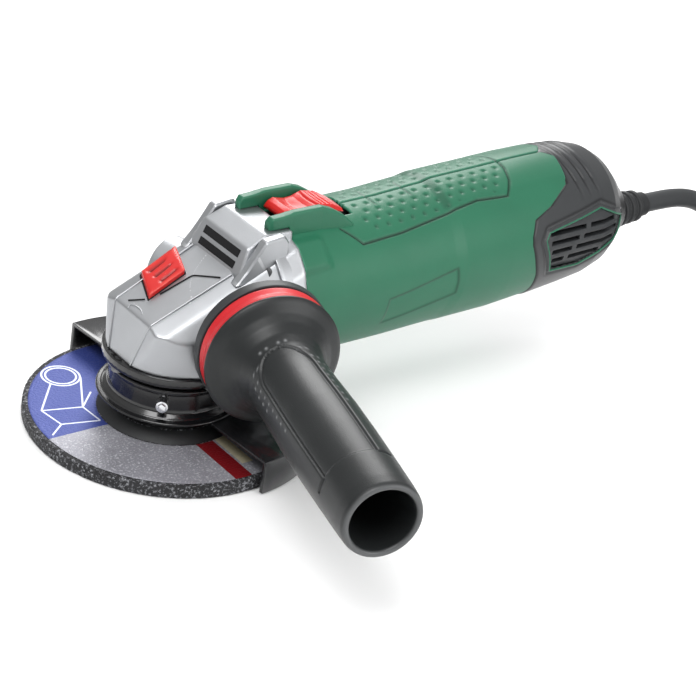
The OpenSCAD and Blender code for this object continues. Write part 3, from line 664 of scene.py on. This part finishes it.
class GRINDER_OT_housing(bpy.types.Operator):
    """Make the two shells with their rails, grooves and dimples"""

    bl_idname = "grinder.housing"
    bl_label = "Motor housing"

    def execute(self, context):
        a = np.radians(np.concatenate([np.arange(0.15, 64, 0.95), np.linspace(64, 118, 58),
            np.linspace(120, 179.9, 34)]))
        s = np.linspace(0, 1, 250)
        for name, side, node in (("right_housing", 1, "right_shell"), ("left_housing", -1, "left_shell")):
            end = cap_edge(np.degrees(a)) + 1.2
            x = 43.15 + s[:, None] * (end - 43.15)[None, :]
            angle = a[None, :] + 0 * x
            arc = angle * np.interp(x, SHELL_X, SHELL_R)
            lift, shade_and_tone = shell_relief(x, arc)
            collar = 1.4 * step_up(60 - x, 0, 5) * step_up(angle, 0.45, 0.6) * step_up(1.0 - angle, 0, 0.12)
            p = housing_point(x, angle, lift + collar)
            centre = 0.25 * (p[:-1, :-1] + p[1:, :-1] + p[:-1, 1:] + p[1:, 1:])
            keep = ~((-centre[..., 1] < 8.9) & (centre[..., 0] < 80.5) & (centre[..., 2] > 80))
            p[..., 1] *= side
            thing = piece(name, [grid(p, keep=keep, flip=side < 0), self.rail(side)], "housing",
                "green_plastic", (node,), shade_and_tone=shade_and_tone)
            wall = thing.modifiers.new("wall", "SOLIDIFY")
            wall.thickness, wall.offset = 1.6 * MM, -1
        return {"FINISHED"}

    def rail(self, side):
        """A rail: at each X, a rounded bar from inside the shell up to the rail's top."""
        x = np.linspace(32.5, 77, 90)
        top = np.interp(x, [32.5, 34, 40, 46, 60, 66, 72, 77], [96.4, 98, 98.4, 99.3, 99.3, 97.2, 93.8, 89.5])
        out = np.interp(x, [32.5, 34, 60, 70, 77], [12.6, 13.3, 13.4, 14.5, 15])
        a = np.linspace(0, 2 * np.pi, 40, endpoint=False)
        squash = lambda v: np.sign(v) * np.abs(v) ** 0.35
        mid, half = (out + 9.0) / 2, (out - 9.0) / 2
        low = np.interp(x, [32.5, 43, 44, 77], [92.4, 92.4, 84, 84])
        y = mid[:, None] + half[:, None] * squash(np.cos(a))[None, :]
        z = (top + low)[:, None] / 2 + (top - low)[:, None] / 2 * squash(np.sin(a))[None, :]
        ring = np.stack([x[:, None] + 0 * y, -side * y, z], -1)
        points, quads = grid(ring, wrap=True, flip=side > 0)
        n = len(a)
        first, last = list(range(n)), list(range(len(points) - n, len(points)))
        ends = [first, last[::-1]] if side > 0 else [first[::-1], last]
        return points, [*quads.tolist(), *ends]


class GRINDER_OT_cap(bpy.types.Operator):
    """Make the rear cap with its ribs and its vent windows"""

    bl_idname = "grinder.cap"
    bl_label = "Rear cap"

    def execute(self, context):
        a = np.radians(np.linspace(-180, 180, 361))
        s = np.linspace(0, 1, 150)[:, None]
        start = cap_edge(np.degrees(np.abs(a)))[None, :] - 0.2
        x = start + s * (252 - start)
        angle = a[None, :] + 0 * x
        away = x - start
        lift = 0.5 * step_up(away, 0.2, 2.4) - 0.9 * step_up(0.9 - away, 0, 0.8)
        ribs = step_up(1.0 - np.abs(angle), 0, 0.35)
        for at in (203, 208.5, 214):
            lift = lift - 0.9 * ribs * np.exp(-(((x - at - 3 * angle**2) / 1.0) ** 2))
        p = housing_point(x, angle, lift)
        window = [(216, 79.5), (181.5, 74), (179.5, 70.5), (186, 53.6), (206, 52.6), (233, 61.5), (237, 70)]
        edge = line_distance(p[..., 0], p[..., 2], [*window, window[0]])
        side = np.abs(p[..., 1]) > 11
        p2 = housing_point(x, angle, lift - 0.9 * np.exp(-(((edge - 1.6) / 0.5) ** 2)) * side)
        centre = 0.25 * (p2[:-1, :-1] + p2[1:, :-1] + p2[:-1, 1:] + p2[1:, 1:])
        hole = inside(centre[..., 0], centre[..., 2], window) & (np.abs(centre[..., 1]) > 11)
        # Painted shade along the dip at the chevron edge and round the vent windows.
        shade_and_tone = np.maximum(np.exp(-(((away - 0.9) / 1.2) ** 2)), 0.8 * np.exp(-(((edge - 3.4) / 0.5) ** 2))
            * side)
        # The cap's rear end past x 238 is dark in its own colour.
        shade_and_tone = np.maximum(shade_and_tone, step_up(x, 238, 241))
        # Painted shade in the rib grooves.
        for at in (203, 208.5, 214):
            shade_and_tone = np.maximum(shade_and_tone, 0.7 * ribs * np.exp(-(((x - at - 3 * angle**2) / 0.7) ** 2)))
        thing = piece("rear_cap_cover", [grid(p2, keep=~hole)], "housing", "grey_rubber", ("rear_cap",),
            shade_and_tone=shade_and_tone)
        path = resample([*window, window[0]], 1.0)
        middle, reach = np.interp(path[:, 0], SHELL_X, SHELL_Z), np.interp(path[:, 0], SHELL_X, SHELL_R)
        out = np.sqrt(np.maximum((reach + 0.35) ** 2 - (path[:, 1] - middle) ** 2, 1))
        for k, sign in (("left", 1), ("right", -1)):
            trim = np.stack([path[:, 0], sign * out, path[:, 1]], 1)
            piece("vent_trim_" + k, [tube(trim, 0.42, 8)], "housing", "green_plastic")
        wall = thing.modifiers.new("wall", "SOLIDIFY")
        wall.thickness, wall.offset = 1.5 * MM, -1
        return {"FINISHED"}


# ---------------------------------------------------------------- gear head
def planes_surface(centre, planes, soft, rows=150, cols=260):
    """A rounded block: along each direction from the centre, the smooth least of the distances to the
    planes, -log(sum(exp(-k t))) / k, so that the planes meet in soft creases."""
    u = np.linspace(0.002, np.pi - 0.002, rows)[:, None]
    v = np.linspace(0, 2 * np.pi, cols, endpoint=False)[None, :]
    d = np.stack([np.sin(u) * np.cos(v), np.sin(u) * np.sin(v), np.cos(u) + 0 * v], -1)
    reach = []
    for point, normal in planes:
        n = np.asarray(normal, float)
        n /= np.linalg.norm(n)
        facing = d @ n
        gap = (np.asarray(point, float) - centre) @ n
        reach.append(np.where(facing > 1e-3, gap / np.maximum(facing, 1e-3), 1e3))
    reach = np.stack(reach)
    least = reach.min(0)
    t = least - np.log(np.exp(-np.clip((reach - least) * soft, 0, 60)).sum(0)) / soft
    return grid(np.asarray(centre) + d * t[..., None], wrap=True, flip=True)


class GRINDER_OT_head(bpy.types.Operator):
    """Make the gear head: faceted casting, hood, ears, bosses and rear ring"""

    bl_idname = "grinder.head"
    bl_label = "Gear head"

    def execute(self, context):
        top = ((-24, 0, 59), (-0.4195, 0, 0.9078))
        planes = [top, ((-24, 0, 59), (-1, 0, 0.2)), ((0, 0, 38), (0, 0, -1)), ((42.8, 0, 60), (1, 0, 0))]
        for s in (1, -1):
            planes += [((-24, s * 13.2, 59), (-0.426, s * 0.33, 0.922)),
                ((-24, s * 21.7, 56), (-0.309, s * 0.743, 0.669))]
            planes += [((-24, s * 28.7, 48.2), (-0.143, s * 0.951, 0.309))]
            planes += [((26, s * 34.4, 57), (0.02, s, 0.05)), ((0, s * 31.6, 52), (-0.31, s * 0.95, 0.02))]
            planes += [((29.7 * np.cos(k), s * 29.7 * np.sin(k), 38),
                (np.cos(k), s * np.sin(k), -0.07)) for k in np.radians(np.arange(168, 104, -8))]
        body = planes_surface((6, 0, 56), planes, 2.6, 220, 380)
        hood = planes_surface((32, 0, 80), [
            ((19.5, 0, 88), (-0.93, 0, 0.38)), ((19.5, 0, 88), (-0.42, 0, 0.91)),
            ((31, 0, 92.6), (0.04, 0, 1)),
            ((43, 0, 80), (1, 0, 0)), ((31, 17, 85), (0, 1, 0.22)), ((31, -17, 85), (0, -1, 0.22)),
            ((30, 0, 66), (0, 0, -1)),
        ], 4.5, 110, 190)
        a = np.linspace(0, 2 * np.pi, 160, endpoint=False)[None, :]
        line = rounded([(27, 31), (33.7, 31), (34.0, 32.5), (34.0, 42.9), (27, 42.9)], 0.5)
        ring = np.stack([line[:, 1:] + 0 * a, line[:, :1] * np.sin(a), 57.5 + line[:, :1] * np.cos(a)], -1)
        grids = [body, hood, grid(ring, wrap=True)]
        for s in (1, -1):
            piece("head_ear_" + ("left" if s > 0 else "right"), [self.ear(s)], "housing", "cast_aluminium",
                smooth=False, bevel=0.5)
            # A black cylinder in the pocket round each head screw: painted shade for the pocket.
            x = np.array([27.0, 27.0, 33.2, 33.2])[:, None]
            reach = np.array([0.01, 4.7, 4.7, 0.01])[:, None]
            well = np.stack([x + 0 * a, s * 19.2 + reach * np.cos(a), 76.2 + reach * np.sin(a)], -1)
            piece("screw_well_shade_" + ("left" if s > 0 else "right"), [grid(well, wrap=True)], "housing",
                "black_plastic")
            end, wide = (36.4, 14) if s > 0 else (38.3, 17)
            boss = turned(rounded([(5, 24), (5, end), (wide - 1, end), (wide, end - 0.8), (wide, 22)], 0.5),
                120)
            place = handle_place(boss)
            place[..., 2] = np.maximum(place[..., 2], 38.0)
            place[..., 1] *= -s
            grids.append(grid(place, wrap=True, flip=s > 0))
        piece("head_casting", grids, "housing", "cast_aluminium", ("gear_head",))
        # Dark boxes in the hood's two slots: the black block behind the bars, and painted shade in the slots.
        for k, (low, high) in enumerate(((78.2, 81.2), (83.0, 86.2))):
            z = np.array([low, low, high, high])
            x = np.interp(z, [77, 88], [15.0, 19.5]) + np.array([-0.15, 4, 4, -0.15])
            across = np.array([-12.8, 12.8])[:, None]
            points, quads = grid(np.stack([x + 0 * across, across + 0 * x, z + 0 * across], -1), wrap=True)
            piece(f"hood_slot_{k}", [(points, [*quads.tolist(), [3, 2, 1, 0], [4, 5, 6, 7]])], "housing",
                "black_plastic", material="shadow_gap", smooth=False)
        self.creases()
        return {"FINISHED"}

    def creases(self):
        """Raised creases along the panel's edges, the engraved lines and the turning arrow, as thin rods; the
        engraved lines are dark rods, painted shade for their grooves.
        """
        rods = []
        for s in (1, -1):
            rods.append((rounded([(-28.2, s * 8.4, 38.4), (-23.9, s * 13.1, 58.9), (14.6, s * 14.6, 76.9)],
                1.6, 0.6), 0.5))
        # Painted shade: the engraved lines are thin dark rods lying on the casting, standing for the shade in
        # the grooves.
        grooves = [
            (rounded([(-11.5, -0.4, 65.0), (3.7, -1.8, 71.85), (10.2, -12.8, 74.9)], 1.2, 0.6), 0.38),
            (rounded([(-16.6, 2.0, 62.55), (-21.5, 7.5, 60.3)], 0.6, 0.6), 0.34),
        ]
        t = np.linspace(-0.9, 0.9, 26)
        arc = np.stack([-21.0 + 3.2 * (np.cos(t) - 1), 4.6 * np.sin(t) / np.sin(0.9), 0 * t], 1)
        arc[:, 2] = 59.05 + (arc[:, 0] + 24) * 0.4621
        head = np.array([arc[-1] + (1.6, -1.6, 0.74), arc[-1], arc[-1] + (-1.7, -0.8, -0.78)])
        rods += [(arc, 0.33), (resample(head, 0.4), 0.33)]
        for name, group, mat in (("head_creases", rods, None), ("head_engraving_shade", grooves, "shadow_gap")):
            piece(name, [tube(path, r, 10) for path, r in group], "housing", "cast_aluminium", material=mat)

    def ear(self, s):
        """An ear: a rounded outline in the X-Z plane, swept between two heights along Y."""
        outline = rounded([(12, 74), (17, 80), (25.5, 92.6), (35, 93.8), (37.5, 90.5), (37.5, 74),
            (12, 74)], 1.0, 0.6)
        y = np.array([16.6, 17.4, 20.6, 21.4])
        inset = np.array([0.8, 0.0, 0.0, 0.8])
        middle = outline.mean(0)
        away = outline - middle
        away /= np.linalg.norm(away, axis=1, keepdims=True)
        rings = outline[None] - inset[:, None, None] * away[None]
        points = np.stack([rings[..., 0], s * (y[:, None] + 0 * rings[..., 0]), rings[..., 1]], -1)
        p, quads = grid(points, wrap=True, flip=s < 0)
        n = len(outline)
        first, last = list(range(n)), list(range(3 * n, 4 * n))
        return p, [*quads.tolist(), *([first[::-1], last] if s > 0 else [first, last[::-1]])]


class GRINDER_OT_lock(bpy.types.Operator):
    """Make the spindle lock's button and a dark sheet round it, painted shade standing for the shade in its
    pocket
    """

    bl_idname = "grinder.lock"
    bl_label = "Spindle lock"

    def execute(self, context):
        corners = np.array([(-15.7, 0.8), (2.0, 1.8), (7.7, 17.9), (-9.7, 16.4)])
        middle = corners.mean(0)
        for name, grow, low, high, body, slot, mat, nodes in (
            ("lock_cap", 0.0, 0.6, 2.2, "lock", "red_plastic", None, ("lock_button",)),
            # A dark sheet a little wider than the button, under its edge: painted shade for the pocket round
            # it.
            ("lock_pocket_shade", 0.7, 0.6, 0.35, "housing", "black_plastic", "shadow_gap", ()),
        ):
            p = middle + (corners - middle) * (1 + grow / 9)
            planes = []
            for i in range(4):
                q, r = p[i], p[(i + 1) % 4]
                n = np.array([r[1] - q[1], -(r[0] - q[0])])
                planes.append(((q[0], q[1], 65), (n[0], n[1], 0)))
            lift = lambda h: (-24, 0, 59 + h)
            planes += [(lift(high), (-0.4195, 0, 0.9078)), (lift(low - 1.4), (0.4195, 0, -0.9078))]
            c = (middle[0], middle[1], 59 + (middle[0] + 24) * np.tan(np.radians(24.8)) + (low + high) / 2
                - 0.4)
            points, quads = planes_surface(c, planes, 5.0, 110, 180)
            shade_and_tone = None
            if nodes:
                points = points.copy()
                along, across = points[:, 0] - middle[0], points[:, 1] - middle[1]
                # Three grooves across the button, cut 1 mm deep and darkened with painted shade.
                deep = sum(np.exp(-(((across - k - 0.1 * along) / (0.75 - 0.05 * along)) ** 2)) for k in (
                    -4.4, 0.0, 4.4))
                above = points[:, 2] > c[2] + along * np.tan(np.radians(24.8)) + 0.6
                shade_and_tone = deep * above * step_up(5.2 - np.abs(along), 0, 2.0)
                points[:, 2] -= 1.0 * shade_and_tone
            piece(name, [(points, quads)], body, slot, nodes, material=mat, shade_and_tone=shade_and_tone)
        return {"FINISHED"}


# ---------------------------------------------------------------- handle
class GRINDER_OT_handle(bpy.types.Operator):
    """Make the handle's plate, damper and grip"""

    bl_idname = "grinder.handle"
    bl_label = "Side handle"

    def execute(self, context):
        plate = rounded([(5, 38.5), (24, 38.5), (27.5, 39.3), (29.6, 40.8), (29.6, 45.6), (5, 45.6)], 0.45)
        damper = rounded([(9.1, 45.9), (28.6, 45.9), (29.0, 46.6), (28.4, 49.8), (28.9, 52.8), (28.4, 53.4),
            (9.1, 53.4)], 0.35)
        for name, line, slot, node in (
            ("handle_seat", plate, "black_plastic", "handle_plate"),
            ("handle_damper_ring", damper, "red_rubber", "handle_damper"),
        ):
            piece(name, [grid(handle_place(turned(line, 220)), wrap=True)], "housing", slot, (node,))
        g = sizes().grip_radius / MM
        line = rounded([
            (5.1, 53.5), (28.4, 53.5), (29.7, 54.2), (29.8, 55.6), (28.2, 57), (24.4, 59), (21.2, 62),
            (18.8, 66), (17.4, 71),
            (16.9, 77), (17.0, 90), (g, 110), (g, 130), (17.3, 150), (16.9, 169), (16.6, 174),
            (15.9, 175.9), (14.4, 176),
            (13.5, 175), (13.0, 150), (12.7, 134), (0.2, 133),
        ], 0.8, 0.55)
        points = turned(line, 420, self.relief)
        lip = 0.35 * np.exp(-(((points[..., 2] - 176) / 0.8) ** 2))
        # A lighter colour on the pips and on a ring at the grip's end.
        shade_and_tone = np.maximum(0.9 * self.pips, lip)
        piece("handle_grip_body", [grid(handle_place(points), wrap=True)], "housing", "grip_plastic",
            ("handle_grip",), shade_and_tone=shade_and_tone)
        return {"FINISHED"}

    def relief(self, a, r, h):
        """Radius added: a long panel with a round top between two dark lines, strips beside it, and pips."""
        across = ((a - np.radians(117) + np.pi) % (2 * np.pi) - np.pi) * 17
        wide = 12.4 * np.sqrt(np.clip(1 - (np.clip(86 - h, 0, 99) / 14) ** 2, 0, 1))
        on = (r > 15.2) & (h > 72) & (h < 175)
        edge, short = np.abs(across) - wide, step_up(153 - h, 0, 1.2)
        self.lines = np.exp(-((edge / 0.5) ** 2)) * short
        self.lines = np.maximum(self.lines, np.exp(-(((h - 153) / 0.5) ** 2)) * (edge > 0)
            * (np.abs(across) < 19))
        lift = -0.6 * step_up(-edge, 0, 0.8) * short - 1.1 * self.lines
        u = h / 5.0
        pip = np.zeros(r.shape)
        for off in (2.6, 5.6):
            pip = np.maximum(pip, np.exp(-((np.hypot(edge - off, (u - np.round(u)) * 5.0) / 0.6) ** 2))
                * (h < (118 if off < 3 else 98)))
        self.pips = pip * (r > 15) * (h > 68) * (h < 120)
        return (lift * on) + 0.25 * self.pips


# ---------------------------------------------------------------- disc and guard
class GRINDER_OT_disc(bpy.types.Operator):
    """Make the grinding disc with its gritty rim, and its label"""

    bl_idname = "grinder.disc"
    bl_label = "Grinding disc"

    def execute(self, context):
        r = sizes().disc_radius / MM
        rng = np.random.default_rng(7)
        line = resample([(11.12, 4.6), (24, 4.6), (28.5, 0.05), (r - 0.6, 0.05), (r - 0.1, 0.6),
            (r - 0.1, 5.4), (r - 0.6, 5.95), (30, 5.95), (25, 10.6), (11.12, 10.6), (11.12, 4.6)], 0.7)
        points = turned(line, 560)
        rough = rng.normal(0, 1, points.shape[:2])
        rim = (np.hypot(points[..., 0], points[..., 1]) > r - 2.4)
        points *= (1 - 0.0022 * np.abs(rough) * rim)[..., None]
        points[..., 2] = np.clip(points[..., 2], 0.0, 10.6)
        piece("disc_body", [grid(points, wrap=True)], "spindle_group", "abrasive", ("grinding_disc",))
        label = turned(rounded([(30.4, 6.0), (30.8, 6.2), (r - 2.8, 6.24), (r - 2.5, 6.0)], 0.3, 0.5), 320)
        hub = turned(rounded([(12, 10.62), (24.9, 10.66), (30.3, 6.12)], 0.3, 0.5), 200)
        piece("hub_ring", [grid(hub, wrap=True, flip=True)], "spindle_group", "label_paper",
            material="black_rubber")
        piece("disc_print", [grid(label, wrap=True, flip=True)], "spindle_group", "label_paper",
            ("disc_label",))
        return {"FINISHED"}


class GRINDER_OT_guard(bpy.types.Operator):
    """Make the guard's drum with its rolled lips"""

    bl_idname = "grinder.guard"
    bl_label = "Guard drum"

    def execute(self, context):
        line = rounded([(24.3, 15.95), (31.4, 15.95), (31.9, 16.4), (31.6, 17.1), (29.4, 17.5),
            (28.9, 18.2), (27.2, 19.6), (26.9, 21), (26.9, 28.4), (28.2, 29.2), (28.4, 30.6), (27.8, 31.3),
            (24.3, 31.4), (24.3, 15.95)], 0.45)
        piece("guard_drum", [grid(turned(line, 260), wrap=True)], "guard", "black_cast", ("guard_collar",))
        return {"FINISHED"}


# ---------------------------------------------------------------- switch
class GRINDER_OT_switch(bpy.types.Operator):
    """Make the sliding switch with its dished thumb rest and its ridges"""

    bl_idname = "grinder.switch"
    bl_label = "Switch"

    def execute(self, context):
        x, v = np.linspace(44.5, 76, 150), np.linspace(-1, 1, 90)
        top = np.interp(x, [44.5, 45.5, 48, 54, 58, 63, 70, 76],
            [94.8, 96.3, 97.4, 96.2, 96.4, 98.0, 96.8, 93.6])
        across = np.sign(v) * np.abs(v) ** 0.8
        y = 7.9 * across[None, :] + 0 * x[:, None]
        z = top[:, None] - 0.5 * across[None, :] ** 2
        z -= 1.5 * np.exp(-(((x[:, None] - 53) / 5) ** 2 + (y / 5.5) ** 2))
        for k in range(5):
            at = 61 + 2.3 * k + 0.02 * y**2
            z -= 0.5 * np.exp(-(((x[:, None] - at) / 0.42) ** 2)) * step_up(7.4 - np.abs(y), 0, 1)
        z -= 1.2 * step_up(np.abs(y), 7.0, 7.9)
        upper = np.stack([x[:, None] + 0 * y, y, z], -1)
        lower = upper[:, ::-1].copy()
        lower[..., 2] = 92.5
        ring = np.concatenate([upper, lower], 1)
        points, quads = grid(ring, wrap=True)
        n = ring.shape[1]
        ends = [list(range(n))[::-1], list(range(len(points) - n, len(points)))]
        piece("switch_cap", [(points, [*quads.tolist(), *ends])], "switch", "red_plastic", ("switch_slider",))
        return {"FINISHED"}


class GRINDER_OT_edges(bpy.types.Operator):
    """Round the edges of the pieces that keep the frame's own shape"""

    bl_idname = "grinder.edges"
    bl_label = "Rounded edges"

    def execute(self, context):
        for name, width in (
            ("guard_shell", 0.35), ("bearing_flange", 0.4), ("clamp_nut", 0.3), ("inner_flange", 0.3),
            ("cord_boot", 0.25),
            ("mains_plug", 1.2), ("plug_pins", 0.4), ("vent_grille_left", 0.15), ("vent_grille_right", 0.15),
            ("head_screws", 0.2), ("guard_screw", 0.2),
        ):
            node = frame["nodes"][name]
            copy = node.data.copy()
            copy.name = name + "_soft"
            thing = bpy.data.objects.new(name + "_soft", copy)
            context.scene.collection.objects.link(thing)
            weld = thing.modifiers.new("weld", "WELD")
            weld.merge_threshold = 0.00001
            edge = thing.modifiers.new("edge", "BEVEL")
            edge.width, edge.segments = width * MM, 2
            edge.limit_method, edge.angle_limit = "ANGLE", np.radians(35)
            copy.shade_smooth()
            edge.harden_normals = True
            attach(thing, node["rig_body"])
            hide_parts(name)
        return {"FINISHED"}


OPERATORS = (
    GRINDER_OT_finishes, GRINDER_OT_stage, GRINDER_OT_lead, GRINDER_OT_housing, GRINDER_OT_cap,
    GRINDER_OT_head,
    GRINDER_OT_lock, GRINDER_OT_handle, GRINDER_OT_disc, GRINDER_OT_guard, GRINDER_OT_switch,
    GRINDER_OT_edges,
)


class GRINDER_PT_panel(bpy.types.Panel):
    """Lists the tool's sizes, colours and pieces"""

    bl_idname = "GRINDER_PT_panel"
    bl_label = "Angle grinder"
    bl_space_type = "VIEW_3D"
    bl_region_type = "UI"
    bl_category = "Grinder"

    def draw(self, context):
        for group in (context.scene.grinder_sizes, context.scene.grinder_colours):
            for key in group.bl_rna.properties.keys():
                if key not in ("rna_type", "name"):
                    self.layout.prop(group, key)
        for operator in OPERATORS:
            self.layout.operator(operator.bl_idname)


def register():
    for c in (GrinderSizes, GrinderColours, *OPERATORS, GRINDER_PT_panel):
        bpy.utils.register_class(c)
    bpy.types.Scene.grinder_sizes = bpy.props.PointerProperty(type=GrinderSizes)
    bpy.types.Scene.grinder_colours = bpy.props.PointerProperty(type=GrinderColours)


def unregister():
    del bpy.types.Scene.grinder_sizes
    del bpy.types.Scene.grinder_colours
    for c in (GRINDER_PT_panel, *reversed(OPERATORS), GrinderColours, GrinderSizes):
        bpy.utils.unregister_class(c)


def main():
    register()
    for operator in OPERATORS:
        family, name = operator.bl_idname.split(".")
        getattr(getattr(bpy.ops, family), name)()


if __name__ == "__main__":
    main()
